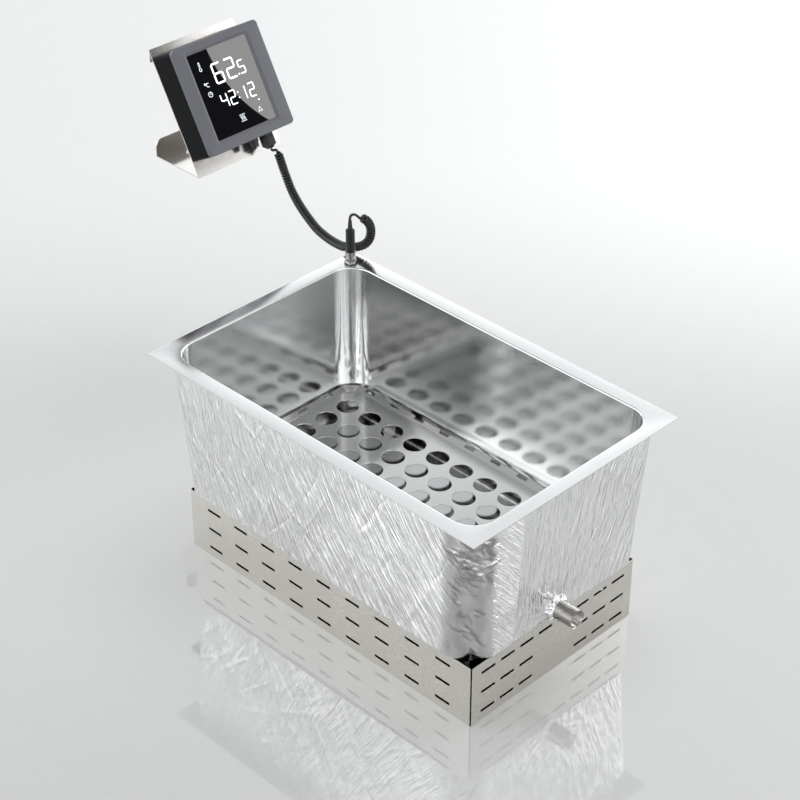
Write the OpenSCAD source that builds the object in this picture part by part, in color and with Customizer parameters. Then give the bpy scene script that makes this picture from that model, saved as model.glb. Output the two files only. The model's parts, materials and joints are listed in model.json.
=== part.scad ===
// Drop-in sous vide bath with a remote touch controller on a wall bracket.
// The frame stands at the centre of the bath's underside, +X towards the drain, +Z up.

/* [Bath] */
// Length of the worktop flange, along X
rim_l = 560; // [540:5:600]
// Width of the worktop flange, along Y
rim_w = 358; // [340:2:380]
// Height of the flange's top above the underside
rim_z = 302; // [280:2:340]
// Distance from the flange's edge to the tank opening, on the short sides
rim_end = 17.5; // [16:0.5:22]
// Distance from the flange's edge to the tank opening, on the long sides
rim_side = 20; // [18:0.5:26]
// Thickness of the drawn tank's sheet
tank_t = 1; // [0.8:0.1:1.5]
// Height of the tank's inside floor above the underside
floor_z = 100; // [98:1:101]
// Amount that each tank wall leans in from top to floor
draft = 11; // [8:1:12]
// Radius of the tank's upright corners
corner_r = 34; // [28:1:40]
// Radius between the tank's walls and floor
fillet_r = 27; // [22:1:28]
// Thickness of the foil-faced insulation
foil_t = 4.5; // [4:0.5:6]

/* [Casing] */
// Length of the slotted casing
case_l = 506; // [500:2:512]
// Width of the slotted casing
case_w = 296; // [290:2:300]
// Height of the slotted casing
case_h = 89.5; // [88:0.5:90]
// Thickness of the casing's sheet
case_t = 1.2; // [1:0.1:1.5]
// Length of one cooling slot
slot_l = 24; // [18:1:26]
// Height of one cooling slot
slot_h = 4; // [2:0.5:4.5]

/* [False bottom] */
// Height of the perforated plate's top above the underside
plate_z = 120; // [114:1:126]
// Diameter of each hole
hole_d = 31; // [24:1:32]
// Hole spacing along the bath
hole_px = 42.4; // [41:0.2:43]
// Hole spacing across the bath
hole_py = 40; // [38:0.5:41]
// Holes along the bath
hole_nx = 11; // [9:2:11]
// Holes across the bath
hole_ny = 6; // [4:2:6]

/* [Drain] */
// Outside diameter of the drain pipe
drain_d = 25; // [23:0.5:26]
// Diameter of the drain's threaded bore
drain_bore = 18.6; // [16:0.2:19]
// Distance of the drain's mouth from the bath's centre
drain_x = 287; // [282:1:300]
// Height of the drain's axis
drain_z = 99; // [98:0.5:101]

/* [Controller] */
// Width and height of the controller's face
panel_w = 150; // [140:2:160]
// Depth of the controller
panel_t = 48; // [42:1:52]
// Lean of the controller's face from upright, in degrees
lean = 29.5; // [20:0.5:35]
// Width of the touch window
window_w = 104; // [90:1:110]
// Height of the touch window
window_h = 120; // [100:1:124]

/* [Bracket] */
// Thickness of the bracket's sheet
bracket_t = 1.5; // [1.2:0.1:2]
// Distance of the wall from the bath's centre
wall_x = 573; // [570:1:576]
// Height of the bracket's lower shelf
shelf_z = 372; // [370:1:374]

/* [Cord] */
// Outside diameter of the curly cord
curl_d = 13; // [12:0.5:13.5]
// Diameter of the cord's straight ends
wire_d = 3.7; // [3:0.1:4]

/* [Hidden] */

gap = 0.4;          // air between nested sheet parts
lip_r = 2;          // radius that joins the flange to the tank's walls
arc_n = 8;          // steps in each quarter of a tank corner
fillet_n = 5;       // steps in a fillet's quarter turn
lip_z = rim_z - lip_r;
open_x = rim_l / 2 - rim_end - lip_r;    // inside half length at the top of the wall
open_y = rim_w / 2 - rim_side - lip_r;   // inside half width there
flange_corner = 0.5;

// One ring of points round a rounded rectangle of half sizes hx and hy, at height z
function ring(hx, hy, r, z) = [
    for (q = [0:3], i = [0:arc_n])
        let (a = 90 * (q + i / arc_n), sx = q == 0 || q == 3 ? 1 : -1, sy = q < 2 ? 1 : -1)
        [sx * (hx - r) + r * cos(a), sy * (hy - r) + r * sin(a), z]
];
// The same ring, set out by off from the tank's inside wall, which leans in downwards
function lean_in(z) = draft * (lip_z - z) / (lip_z - floor_z);
function tank_ring(off, z) =
    ring(open_x - lean_in(z) + off, open_y - lean_in(z) + off, corner_r + off, z);
function fillet_ring(extra, a) =
    tank_ring((fillet_r + extra) * sin(a) - fillet_r, floor_z + fillet_r - (fillet_r + extra) * cos(a));
function lip_ring(r, a) =
    ring(open_x + lip_r - r * cos(a), open_y + lip_r - r * cos(a), corner_r + lip_r - r * cos(a),
         lip_z + r * sin(a));

// Skins a list of rings, either closed on itself or capped at both ends
module skin(rings, looped = false) {
    m = len(rings[0]);
    k = len(rings);
    last = looped ? k - 1 : k - 2;
    sides = [
        for (i = [0:last], j = [0:m - 1])
            let (a = i * m, b = ((i + 1) % k) * m, j2 = (j + 1) % m)
            each [[a + j, a + j2, b + j2], [a + j, b + j2, b + j]]
    ];
    caps = looped ? [] : [[for (j = [m - 1:-1:0]) j], [for (j = [0:m - 1]) (k - 1) * m + j]];
    polyhedron(points = [for (r = rings) each r], faces = concat(sides, caps), convexity = 10);
}

module rounded_rect(w, h, r) {
    square([w - 2 * r, h], center = true);
    square([w, h - 2 * r], center = true);
    for (x = [-1, 1], y = [-1, 1])
        translate([x * (w / 2 - r), y * (h / 2 - r)]) circle(r = r, $fn = 48);
}
module slab(w, h, r, t) {
    linear_extrude(t) rounded_rect(w, h, r);
}
module hex(across, t) {
    cylinder(d = across / cos(30), h = t, $fn = 6);
}
module at_corners(x, y) {
    for (i = [-1, 1], j = [-1, 1]) translate([i * x, j * y, 0]) children();
}

// ---------------------------------------------------------------- bath

socket_x = -261;
socket_y = 156;
socket_hole_r = 5.5;
drain_gap = 0.1;

module tank() {
    inside = [for (i = [0:fillet_n]) fillet_ring(0, 90 * i / fillet_n)];
    lip_in = [for (i = [0:fillet_n]) lip_ring(lip_r, 90 * i / fillet_n)];
    flange = [for (z = [rim_z, rim_z - tank_t]) ring(rim_l / 2, rim_w / 2, flange_corner, z)];
    lip_out = [for (i = [fillet_n:-1:0]) lip_ring(lip_r - tank_t, 90 * i / fillet_n)];
    outside = [for (i = [fillet_n:-1:0]) fillet_ring(tank_t, 90 * i / fillet_n)];
    color("lightgray")
    difference() {
        skin(concat(inside, lip_in, flange, lip_out, outside));
        translate([drain_in_x - 1, 0, drain_z]) rotate([0, 90, 0])
            cylinder(r = drain_d / 2 + drain_gap, h = drain_x, $fn = 64);
        translate([socket_x, socket_y, rim_z - 5]) cylinder(r = socket_hole_r, h = 10, $fn = 48);
    }
}

foil_z = case_h + 0.8;
module foil_insulation() {
    in_off = tank_t + gap;
    out_off = tank_t + gap + foil_t;
    top_z = rim_z - tank_t - gap;
    rings = [
        tank_ring(in_off, foil_z),
        tank_ring(in_off, lip_z - 0.5),
        tank_ring(lip_r + 2 * gap, top_z),
        tank_ring(out_off, top_z),
        tank_ring(out_off, foil_z)
    ];
    color("whitesmoke")
    difference() {
        skin(rings, looped = true);
        translate([drain_x - 80, 0, drain_z]) rotate([0, 90, 0])
            cylinder(r = drain_d / 2 + 1, h = 100, $fn = 64);
    }
}

seam = 1.8;              // open corner seam of the folded casing
slot_rows = [14, 44, 74];
slot_cols_long = 9;
slot_pitch_long = 51.5;
slot_cols_short = 8;
slot_pitch_short = 33.8;
stud_x = 200;
stud_y = 100;
dimple_h = 2.6;
mains_gland_z = 30;

// Cooling slots of one wall in its own plane: x along the wall, y up
module slot_row(cols, pitch, skip_middle) {
    for (i = [0:cols - 1]) {
        x = (i - (cols - 1) / 2) * pitch;
        if (!skip_middle || abs(x) > pitch)
            translate([x, 0]) square([slot_l, slot_h], center = true);
    }
}
module wall_slots(cols, pitch, blank_middle) {
    for (k = [0:2])
        translate([0, slot_rows[k]]) slot_row(cols, pitch, blank_middle && k < 2);
}
module long_wall() {
    rotate([90, 0, 0]) linear_extrude(case_t) difference() {
        translate([seam - case_l / 2, 0]) square([case_l - 2 * seam, case_h]);
        wall_slots(slot_cols_long, slot_pitch_long, false);
    }
}
module short_wall() {
    rotate([90, 0, 90]) linear_extrude(case_t) difference() {
        translate([seam - case_w / 2, 0]) square([case_w - 2 * seam, case_h]);
        wall_slots(slot_cols_short, slot_pitch_short, true);
    }
}
module casing() {
    color("darkgray")
    difference() {
        union() {
            translate([seam - case_l / 2, -case_w / 2, 0]) cube([case_l - 2 * seam, case_w, case_t]);
            translate([-case_l / 2, seam - case_w / 2, 0]) cube([case_l, case_w - 2 * seam, case_t]);
            translate([0, case_t - case_w / 2, 0]) long_wall();
            translate([0, case_w / 2, 0]) long_wall();
            translate([case_l / 2 - case_t, 0, 0]) short_wall();
            translate([-case_l / 2, 0, 0]) short_wall();
            at_corners(stud_x, stud_y) cylinder(r1 = 9, r2 = 6, h = dimple_h + 0.4, $fn = 48);
        }
        at_corners(stud_x, stud_y) {
            translate([0, 0, -0.01]) cylinder(r1 = 5.6, r2 = 2.8, h = dimple_h, $fn = 48);
            cylinder(r = 2.7, h = 10, $fn = 48);
        }
        // relief for the drain pipe, which stands level with the wall's top edge
        translate([case_l / 2 - 5, 0, drain_z]) rotate([0, 90, 0])
            cylinder(r = drain_d / 2 + 1, h = 10, $fn = 64);
        translate([-case_l / 2 - 5, 0, mains_gland_z]) rotate([0, 90, 0])
            cylinder(r = 8.2, h = 10, $fn = 48);
    }
}

drain_in_x = 232;        // where the drain pipe starts, under the fillet
drain_trough_x = 246;    // inside the tank the pipe is cut open down to the floor
thread_l = 16;           // length of the thread at the drain's mouth
pipe_bore = 20;          // bore of the pipe behind that thread
pipe_end_t = 2;          // wall that closes the trough's inner end
module drain_pipe() {
    color("silver")
    difference() {
        translate([drain_in_x, 0, drain_z]) rotate([0, 90, 0])
            cylinder(d = drain_d, h = drain_x - drain_in_x, $fn = 96);
        translate([drain_in_x + pipe_end_t, 0, drain_z]) rotate([0, 90, 0])
            cylinder(d = pipe_bore, h = drain_x - thread_l - drain_in_x - pipe_end_t, $fn = 96);
        translate([drain_x - thread_l - 1, 0, drain_z]) rotate([0, 90, 0])
            cylinder(d = drain_bore, h = thread_l + 2, $fn = 96);
        translate([drain_in_x - 1, -drain_d, floor_z])
            cube([drain_trough_x - drain_in_x, 2 * drain_d, drain_d]);
    }
}
module drain_collar() {
    foil_out_x = open_x - lean_in(drain_z) + tank_t + foil_t;
    color("gainsboro")
    translate([foil_out_x + 1.2, 0, drain_z]) rotate([0, 90, 0])
    difference() {
        cylinder(d = drain_d + 4, h = 4, $fn = 64);
        translate([0, 0, -1]) cylinder(d = drain_d + 0.1, h = 10, $fn = 96);
    }
}

plate_t = 1;
plate_x = 240;           // half length of the plate's flat part
plate_y = 132.5;         // half width of it
plate_r = 14;            // radius of its corners
rim_up = 6;              // height of the upturned edge
rim_out_x = 7;           // how far that edge slopes out, at the ends
rim_out_y = 10;          // and along the sides
rim_r = 27;              // radius of the edge's corners, which clear the tank's
notch_pitch = 46.5;
notch_l = 17;
notch_w = 4;
// A row of square notches, centred on the middle of one upturned edge
module notches(count) {
    for (i = [0:count - 1])
        translate([(i - (count - 1) / 2) * notch_pitch, 0, 0])
            cube([notch_l, 2 * notch_w, 40], center = true);
}
module false_bottom() {
    rings = [
        ring(plate_x, plate_y, plate_r, plate_z),
        ring(plate_x + rim_out_x, plate_y + rim_out_y, rim_r, plate_z + rim_up),
        ring(plate_x + rim_out_x + 0.6, plate_y + rim_out_y + 0.5, rim_r, plate_z + rim_up - plate_t),
        ring(plate_x + 0.6, plate_y + 0.5, plate_r, plate_z - plate_t)
    ];
    color("silver")
    difference() {
        skin(rings);
        for (i = [0:hole_nx - 1], j = [0:hole_ny - 1])
            translate([(i - (hole_nx - 1) / 2) * hole_px, (j - (hole_ny - 1) / 2) * hole_py, plate_z - 5])
                cylinder(d = hole_d, h = 10, $fn = 48);
        for (s = [0, 180]) rotate([0, 0, s]) {
            translate([0, plate_y + rim_out_y, plate_z]) notches(10);
            translate([plate_x + rim_out_x, 0, plate_z]) rotate([0, 0, 90]) notches(5);
        }
    }
}
foot_w = 22;
foot_y = 116;
foot_h = plate_z - plate_t - floor_z;
// Folded tabs under the plate's long edges, between the outer holes and the tank's fillet
module plate_feet() {
    color("silver")
    for (s = [0, 180], x = [-3.5, 3.5]) rotate([0, 0, s]) translate([x * hole_px, foot_y, floor_z + 0.01]) {
        translate([-foot_w / 2, 0, 0]) cube([foot_w, 1.5, foot_h - 0.02]);
        translate([-foot_w / 2, -4, 0]) cube([foot_w, 4.1, 1.5]);
        translate([-foot_w / 2, -4, foot_h - 1.52]) cube([foot_w, 4.1, 1.5]);
    }
}

heater_z = floor_z - tank_t - 2.3;
module stud_holes(r, h) {
    at_corners(stud_x, stud_y) translate([0, 0, -1]) cylinder(r = r, h = h, $fn = 32);
}
module heater_mat() {
    color("orangered")
    translate([0, 0, heater_z]) difference() {
        slab(430, 230, 12, 2);
        stud_holes(8, 10);
    }
}
module insulation_board() {
    color("khaki")
    translate([0, 0, heater_z - 24.4]) difference() {
        slab(462, 262, 20, 20);
        stud_holes(6, 30);
        translate([60, -60, -1]) cylinder(r = 14, h = 30, $fn = 48);
        translate([-60, 30, -1]) cylinder(r = 9, h = 30, $fn = 48);
        translate([150, 0, -1]) cylinder(r = 8, h = 30, $fn = 48);
    }
}
module limiter() {
    color("ivory")
    translate([60, -60, heater_z - 8.2]) {
        cylinder(d = 17, h = 8, $fn = 48);
        translate([0, 0, 6]) cylinder(d = 22, h = 2, $fn = 48);
        for (x = [-5, 5]) translate([x - 3, -0.4, -8]) cube([6, 0.8, 8.5]);
    }
}
module temp_probe() {
    color("silver")
    translate([-60, 30, heater_z - 34]) cylinder(d = 6, h = 33.9, $fn = 32);
}
module probe_clip() {
    color("dimgray")
    translate([-60, 30, heater_z - 28.2]) difference() {
        cylinder(d = 16, h = 3.6, $fn = 48);
        translate([0, 0, -1]) cylinder(d = 6.2, h = 10, $fn = 48);
    }
}
// A lead swept along its route: an octagon on each point, square to the local direction
function unit(v) = v / norm(v);
function along(p, i) = unit(p[min(i + 1, len(p) - 1)] - p[max(i - 1, 0)]);
function lead_ring(c, d, r, sides) =
    let (side = unit(cross(d, abs(d.z) > 0.9 ? [0, 1, 0] : [0, 0, 1])), up = cross(side, d))
    [for (k = [0:sides - 1]) c + r * (cos(360 * k / sides) * side + sin(360 * k / sides) * up)];
module lead(route, d, sides = 8) {
    skin([for (i = [0:len(route) - 1]) lead_ring(route[i], along(route, i), d / 2, sides)]);
}
module heater_leads() {
    color("crimson")
    for (y = [-4, 4])
        lead([[150, y, heater_z - 0.3], [150, y, 50], [146, y, 40], [130, y, 33], [112, y, 28], [104, y, 24]], 3);
}
module mounting_studs() {
    color("silver")
    at_corners(stud_x, stud_y) translate([0, 0, dimple_h + 0.45]) difference() {
        hex(8, floor_z - tank_t - dimple_h - 0.5);
        translate([0, 0, -1]) cylinder(r = 2.5, h = 15, $fn = 32);
    }
}
module base_screws() {
    color("gray")
    at_corners(stud_x, stud_y) translate([0, 0, 0.05]) difference() {
        union() {
            cylinder(r1 = 5.2, r2 = 2.4, h = 2.5, $fn = 48);
            cylinder(r = 2.4, h = 14, $fn = 48);
        }
        translate([0, 0, -1]) hex(3, 2.6);
    }
}

board_x = 0;
board_z = 14;
module power_board() {
    color("darkgreen")
    translate([board_x, 0, board_z]) difference() {
        slab(220, 120, 2, 1.6);
        at_corners(103, 53) translate([0, 0, -1]) cylinder(r = 1.7, h = 5, $fn = 24);
    }
}
module board_spacers() {
    color("lightgray")
    translate([board_x, 0, case_t]) at_corners(103, 53) {
        difference() {
            hex(6, board_z - case_t);
            translate([0, 0, 2]) cylinder(r = 1.4, h = 20, $fn = 24);
        }
    }
}
part_z = board_z + 1.7;
module relays() {
    color("royalblue")
    for (y = [-34, -10]) translate([-60, y - 8, part_z]) cube([29, 16, 20]);
}
module power_supply() {
    color("goldenrod")
    translate([-20, 12, part_z]) cube([52, 34, 28]);
}
module heatsink() {
    color("silver")
    translate([50, -50, part_z]) {
        cube([40, 40, 3]);
        for (k = [0:7]) translate([k * 5.5, 0, 2.9]) cube([1.5, 40, 20]);
    }
}
module terminal_block() {
    color("seagreen")
    translate([-104, -30, part_z]) difference() {
        cube([14, 60, 16]);
        for (k = [0:5]) {
            translate([-1, k * 9.6 + 3.5, 3]) cube([8, 5.6, 6]);
            translate([7, k * 9.6 + 6.3, 10]) cylinder(r = 2, h = 10, $fn = 24);
        }
    }
}

// Cable gland standing on a wall: hexagon outside, thread through the wall, dome nut
module gland_body(r, wall) {
    difference() {
        union() {
            hex(2 * r + 5, 5);
            translate([0, 0, -wall - 8]) cylinder(r = r, h = wall + 8.1, $fn = 48);
            translate([0, 0, 4.9]) cylinder(r = r + 0.4, h = 9, $fn = 48);
        }
        translate([0, 0, -20]) cylinder(r = r - 2, h = 50, $fn = 48);
    }
}
module gland_cap(r, bore_r, h) {
    difference() {
        union() {
            hex(2 * r + 5, h - 4);
            translate([0, 0, h - 4.1]) cylinder(r1 = r + 2, r2 = bore_r + 1.6, h = 4.1, $fn = 48);
        }
        translate([0, 0, -1]) cylinder(r = r + 0.5, h = h - 4, $fn = 48);
        cylinder(r = bore_r, h = 40, $fn = 48);
    }
}
module at_mains_gland() {
    translate([-case_l / 2, 0, mains_gland_z]) rotate([0, -90, 0]) children();
}
module mains_gland() {
    color("dimgray") at_mains_gland() gland_body(8, case_t);
}
module mains_gland_nut() {
    color("dimgray") at_mains_gland() translate([0, 0, 5.2]) gland_cap(8, 4, 17);
}

// ---------------------------------------------------------------- socket and plug

socket_route = [
    [socket_x, socket_y, 287], [socket_x, socket_y, 276], [-258, 153, 262], [-255, 150, 230],
    [-252, 147, 190], [-250, 145, 140], [-249, 144, 104], [-247, 142, 80],
    [-240, 136, 60], [-215, 124, 44], [-180, 112, 36], [-140, 70, 32], [-112, 44, 28], [-98, 38, 20]
];
module signal_lead() {
    color("black") lead(socket_route, 4);
}
module at_socket(z) {
    translate([socket_x, socket_y, z]) children();
}
module control_socket() {
    color("silver")
    at_socket(0) {
        translate([0, 0, rim_z - tank_t - 3.2]) difference() {
            cylinder(r = 7.5, h = 3, $fn = 48);
            translate([0, 0, -1]) cylinder(r = 2.3, h = 5, $fn = 32);
        }
        translate([0, 0, 287.5]) difference() {
            cylinder(r = 5.2, h = 11, $fn = 48);
            translate([0, 0, -1]) cylinder(r = 2.3, h = 20, $fn = 32);
        }
        translate([0, 0, rim_z - tank_t - 0.3]) difference() {
            cylinder(r = 5.2, h = 18, $fn = 48);
            translate([0, 0, 10]) cylinder(r = 4.2, h = 20, $fn = 48);
            translate([0, 0, -1]) cylinder(r = 2.3, h = 20, $fn = 32);
        }
    }
}
module socket_gasket() {
    color("black")
    at_socket(rim_z + 0.02) difference() {
        cylinder(r = 8.6, h = 0.8, $fn = 64);
        translate([0, 0, -1]) cylinder(r = 5.4, h = 4, $fn = 64);
    }
}
module socket_nut() {
    color("silver")
    at_socket(rim_z + 0.9) difference() {
        hex(15, 4.5);
        translate([0, 0, -1]) cylinder(r = 5.3, h = 8, $fn = 64);
    }
}
ring_z = rim_z + 8;
ring_r_in = 5.3;
ring_h = 10;
module coupling_ring() {
    color("silver")
    at_socket(ring_z) difference() {
        union() {
            cylinder(r = 6.8, h = 3, $fn = 64);
            translate([0, 0, 2.9]) cylinder(r = 6.2, h = 2.1, $fn = 64);
            translate([0, 0, 4.9]) cylinder(r = 6.8, h = ring_h - 4.9, $fn = 64);
            for (k = [0:17]) rotate([0, 0, 20 * k]) translate([6.6, -0.4, 5.3]) cube([0.5, 0.8, 4.2]);
        }
        translate([0, 0, -1]) cylinder(r = ring_r_in, h = 30, $fn = 64);
    }
}
plug_z = ring_z + ring_h + 0.3;
plug_top = 354.5;
module plug_body() {
    color([0.08, 0.08, 0.08])
    at_socket(0) difference() {
        union() {
            translate([0, 0, plug_z]) cylinder(r = 6.1, h = plug_top - plug_z - 2.5, $fn = 64);
            translate([0, 0, plug_top - 2.6]) cylinder(r1 = 6.1, r2 = 4.6, h = 1.6, $fn = 64);
            // spigot inside the coupling ring, standing on the socket's mouth
            translate([0, 0, rim_z + 17]) cylinder(r = ring_r_in - 0.05, h = plug_z - rim_z - 16.9, $fn = 64);
        }
        translate([0, 0, rim_z + 10]) cylinder(r = wire_d / 2 + 0.05, h = 80, $fn = 32);
    }
}
boot_h = 13;
module plug_boot() {
    color([0.1, 0.1, 0.1])
    at_socket(plug_top - 0.9) difference() {
        cylinder(r1 = 3.3, r2 = 2.3, h = boot_h, $fn = 48);
        translate([0, 0, -1]) cylinder(r = wire_d / 2 + 0.1, h = 20, $fn = 48);
    }
}

// ---------------------------------------------------------------- cord

curl_route = [
    [-455, 204, 379.5], [-452, 205, 372], [-449, 206.7, 360], [-446, 207.7, 350.5], [-441, 208, 341],
    [-434, 207, 331], [-424, 205, 322], [-409, 201.5, 313.5], [-390, 197, 306], [-367, 192, 299],
    [-342, 187, 297], [-318, 182, 299], [-297, 177, 304], [-283, 175, 310], [-272, 178, 313],
    [-263, 184, 318], [-257, 188, 328], [-255, 188.5, 341], [-255, 185.5, 352], [-256, 179.5, 360.5],
    [-258, 172.5, 364.5]
];
plug_end_route = [
    [-258, 172.5, 364.5], [-258.4, 171.1, 365.3], [-259.3, 168.3, 368.8], [-260, 164.5, 372.4],
    [-261, 159.5, 373.5], [socket_x, socket_y, 370], [socket_x, socket_y, 345]
];
gland_end_route = [
    [-473, 198.5, 402.8], [-462, 198.5, 383.4], [-459.5, 200, 381.2], [-456.6, 203, 382],
    [-455.6, 203.8, 380.9], [-455, 204, 379.5]
];

// Catmull-Rom midpoints, so that a bend keeps its roundness between its points
function smooth(p) = [
    for (i = [0:len(p) - 2])
        let (a = p[max(i - 1, 0)], b = p[i], c = p[i + 1], d = p[min(i + 2, len(p) - 1)])
        each [b, (9 * (b + c) - a - d) / 16],
    p[len(p) - 1]
];
module curly_cord() {
    color([0.07, 0.07, 0.07]) lead(smooth(curl_route), curl_d, 10);
}
module cord_end_plug() {
    color([0.07, 0.07, 0.07]) lead(plug_end_route, wire_d);
}
module cord_end_gland() {
    color([0.07, 0.07, 0.07]) lead(gland_end_route, wire_d);
}

// ---------------------------------------------------------------- controller

panel_pos = [-488.5, 160, 481];      // centre of the controller's face
// Places children in the controller's frame: x across, y up its face, z out of its face
module on_panel(depth = 0) {
    translate(panel_pos) rotate([0, -lean, 0]) rotate([90, 0, 90]) translate([0, 0, -depth]) children();
}
panel_r = 6;
bezel_t = 8;
gasket_t = 0.8;
window_x = -1.8;          // the window sits a little off the face's centre
window_y = 1.2;
glass_z = 3;              // depth of the glass below the bezel's face
case_wall = 2.5;
case_front = bezel_t + gasket_t;
screw_in = 66;            // case screws, from the centre
module bezel() {
    color([0.36, 0.35, 0.37])
    on_panel(bezel_t) difference() {
        slab(panel_w, panel_w, panel_r, bezel_t);
        translate([window_x, window_y, -1]) slab(window_w, window_h, 4, 20);
        translate([window_x, window_y, -1]) slab(window_w + 8, window_h + 8, 4, bezel_t - glass_z + 1);
        at_corners(screw_in, screw_in) translate([0, 0, -1]) cylinder(r = 1.3, h = 7, $fn = 24);
    }
}
module window_glass() {
    color([0.03, 0.03, 0.04])
    on_panel(glass_z + 2.55) translate([window_x, window_y, 0])
        slab(window_w + 7.4, window_h + 7.4, 3.7, 2.5);
}
module case_gasket() {
    color("black")
    on_panel(case_front - 0.02) difference() {
        slab(panel_w - 1, panel_w - 1, panel_r - 0.5, gasket_t - 0.04);
        translate([0, 0, -1]) slab(panel_w - 8, panel_w - 8, 3, 5);
        at_corners(screw_in, screw_in) translate([0, 0, -1]) cylinder(r = 1.8, h = 5, $fn = 24);
    }
}
module display_module() {
    color("darkslategray")
    on_panel(9.9) translate([window_x, window_y + 12, 0]) slab(98, 78, 2, 4.2);
}
module touch_board() {
    color("darkgreen")
    on_panel(12.4) slab(118, 118, 2, 1.6);
}
module control_board() {
    color("darkgreen")
    on_panel(38) difference() {
        slab(126, 110, 2, 1.6);
        at_corners(56, 48) translate([0, 0, -1]) cylinder(r = 1.7, h = 5, $fn = 24);
    }
}
module control_board_posts() {
    color("lightgray")
    on_panel(panel_t - case_wall - 0.02) at_corners(56, 48) difference() {
        hex(6, panel_t - case_wall - 38.06);
        translate([0, 0, 2]) cylinder(r = 1.4, h = 20, $fn = 24);
    }
}
module buzzer() {
    color("black")
    on_panel(36.3) translate([35, -30, 0]) difference() {
        cylinder(d = 14, h = 8, $fn = 48);
        translate([0, 0, 6]) cylinder(d = 2, h = 5, $fn = 24);
    }
}
boss_r = 4;
mount_in = 35;            // bracket screws, from the centre
big_gland_x = 38.5;
small_gland_x = 16;
gland_depth = 25;
big_gland_r = 7;
small_gland_r = 4.5;
// Axis of a gland under the controller: z points down out of the case's lower side
module at_gland(x) {
    on_panel(gland_depth) translate([x, -panel_w / 2, 0]) rotate([90, 0, 0]) children();
}
module rear_case() {
    color([0.11, 0.11, 0.12])
    difference() {
        on_panel(panel_t) {
            difference() {
                slab(panel_w, panel_w, panel_r, panel_t - case_front);
                translate([0, 0, case_wall])
                    slab(panel_w - 2 * case_wall, panel_w - 2 * case_wall, panel_r - case_wall, panel_t);
                at_corners(mount_in, mount_in) translate([0, 0, -1]) cylinder(r = 3.1, h = 10, $fn = 48);
                at_corners(screw_in, screw_in) translate([0, 0, -1]) cylinder(r = 3.3, h = 10, $fn = 24);
            }
            at_corners(screw_in, screw_in) difference() {
                cylinder(r = boss_r + 0.5, h = panel_t - case_front, $fn = 32);
                translate([0, 0, -1]) cylinder(r = 1.8, h = panel_t, $fn = 24);
                translate([0, 0, -1]) cylinder(r = 3.3, h = 4, $fn = 24);
            }
        }
        at_gland(big_gland_x) translate([0, 0, -10]) cylinder(r = big_gland_r + 0.2, h = 20, $fn = 48);
        at_gland(small_gland_x) translate([0, 0, -10]) cylinder(r = small_gland_r + 0.2, h = 20, $fn = 48);
    }
}
module case_screws() {
    color("gray")
    on_panel(panel_t) at_corners(screw_in, screw_in) translate([0, 0, 0.6]) {
        difference() {
            cylinder(r = 2.9, h = 2.2, $fn = 32);
            translate([0, 0, -0.5]) hex(2.5, 1.7);
        }
        cylinder(r = 1.2, h = panel_t - 4, $fn = 32);
    }
}
module threaded_inserts() {
    color("gold")
    on_panel(panel_t - 0.02) at_corners(mount_in, mount_in) difference() {
        cylinder(r = 3, h = 6, $fn = 48);
        translate([0, 0, -1]) cylinder(r = 2.1, h = 10, $fn = 48);
    }
}
module cable_gland() {
    color([0.1, 0.1, 0.1]) at_gland(big_gland_x) gland_body(big_gland_r, case_wall);
}
module cable_gland_nut() {
    color([0.1, 0.1, 0.1]) at_gland(big_gland_x) translate([0, 0, 5.2]) gland_cap(big_gland_r, 2.6, 17);
}
module cable_gland_seal() {
    color([0.15, 0.15, 0.15])
    at_gland(big_gland_x) translate([0, 0, 4]) difference() {
        cylinder(r = big_gland_r - 2.1, h = 10, $fn = 48);
        translate([0, 0, -1]) cylinder(r = wire_d / 2 + 0.15, h = 20, $fn = 48);
    }
}
module gland_locknuts() {
    color([0.12, 0.12, 0.12])
    for (g = [[big_gland_x, big_gland_r], [small_gland_x, small_gland_r]])
        at_gland(g[0]) translate([0, 0, -case_wall - 4.2]) difference() {
            hex(2 * g[1] + 4, 4);
            translate([0, 0, -1]) cylinder(r = g[1] + 0.1, h = 10, $fn = 48);
        }
}
module blank_gland() {
    color([0.1, 0.1, 0.1])
    at_gland(small_gland_x) {
        hex(2 * small_gland_r + 4, 5);
        translate([0, 0, -case_wall - 8]) cylinder(r = small_gland_r, h = case_wall + 8.1, $fn = 48);
        translate([0, 0, 4.9]) cylinder(r1 = small_gland_r + 1.5, r2 = small_gland_r, h = 8, $fn = 48);
    }
}

// ---------------------------------------------------------------- bracket

bracket_w = panel_w;
bracket_y = 160;
flange_up = 26;           // height of the lower wall flange
flange_down = 18;         // height of the upper wall flange
bracket_corner = 12;
wall_hole_r = 2.75;
wall_hole_y = 20;
// The leaning sheet's front face passes just behind the controller's back
front_at = function(z) panel_pos.x - (panel_t + 0.1) / cos(lean) - (z - panel_pos.z) * tan(lean);
top_z = panel_pos.z + (wall_x + panel_pos.x - (panel_t + 0.1) / cos(lean)) / tan(lean);
sheet_dx = bracket_t / cos(lean);
// Side outline of the folded sheet, x and z, walked outside first and then back inside
bracket_outline = [
    [-wall_x, top_z - flange_down], [-wall_x, top_z], [front_at(shelf_z), shelf_z],
    [-wall_x, shelf_z], [-wall_x, shelf_z + flange_up], [bracket_t - wall_x, shelf_z + flange_up],
    [bracket_t - wall_x, shelf_z + bracket_t],
    [front_at(shelf_z + bracket_t) - sheet_dx, shelf_z + bracket_t],
    [bracket_t - wall_x, top_z - (bracket_t + sheet_dx) / tan(lean)],
    [bracket_t - wall_x, top_z - flange_down]
];
// The two screw holes through one wall flange
module wall_holes(z) {
    for (y = [-1, 1]) translate([-wall_x - 5, bracket_y + y * wall_hole_y, z])
        rotate([0, 90, 0]) cylinder(r = wall_hole_r, h = 10, $fn = 48);
}
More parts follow.
